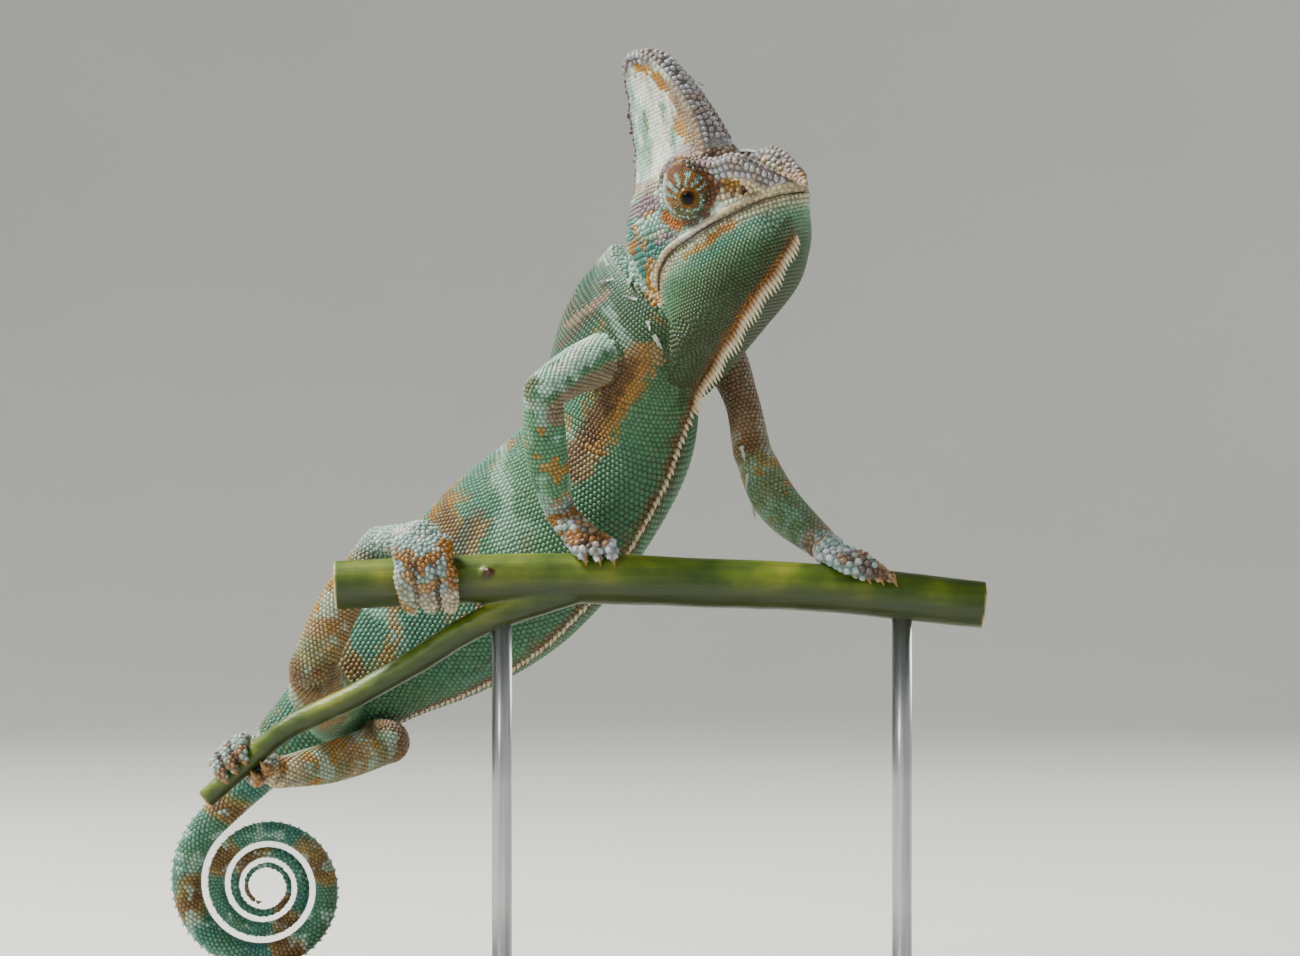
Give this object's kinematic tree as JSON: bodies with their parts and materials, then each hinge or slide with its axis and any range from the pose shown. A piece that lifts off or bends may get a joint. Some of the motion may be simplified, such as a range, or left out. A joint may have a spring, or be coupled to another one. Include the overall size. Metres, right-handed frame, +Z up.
{
  "type": "veiled chameleon museum model on a perch stand",
  "caption": "Life-size adult veiled chameleon gripping a cut branch, head raised and turned, tail coiled, on a wooden base with two metal rods.",
  "frame": {"origin": "middle of the underside of the stand's base", "axes": "+Z up, +X along the branch towards the left hand, -Y the side that the belly and the camera's side face"},
  "size_m": [0.21, 0.104, 0.2587],
  "materials": {
    "skin": "fine beaded scales",
    "limb_skin": "fine beaded scales",
    "eye_skin": "fine granules",
    "eye": "wet gloss",
    "bark": "smooth green bark",
    "wood": "satin varnish",
    "steel": "satin"
  },
  "bodies": {
    "root": {"head": "skin", "eye_turret_right": "eye_skin", "eye_right": "eye", "eye_turret_left": "eye_skin", "eye_left": "eye", "neck": "skin", "chest": "skin", "belly": "skin", "loin": "skin", "pelvis": "skin", "tail_1": "skin", "tail_2": "skin", "tail_3": "skin", "tail_4": "skin", "tail_5": "skin", "tail_6": "skin", "tail_7": "skin", "tail_8": "skin", "tail_9": "skin", "upper_arm_right": "limb_skin", "forearm_right": "limb_skin", "hand_right": "limb_skin", "upper_arm_left": "limb_skin", "forearm_left": "limb_skin", "hand_left": "limb_skin", "thigh_right": "limb_skin", "shank_right": "limb_skin", "foot_right": "limb_skin", "thigh_left": "limb_skin", "shank_left": "limb_skin", "foot_left": "limb_skin", "perch_branch": "bark", "perch_twig": "bark", "stand_base": "wood", "stand_rod_left": "steel", "stand_rod_right": "steel"}
  },
  "joints": []
}
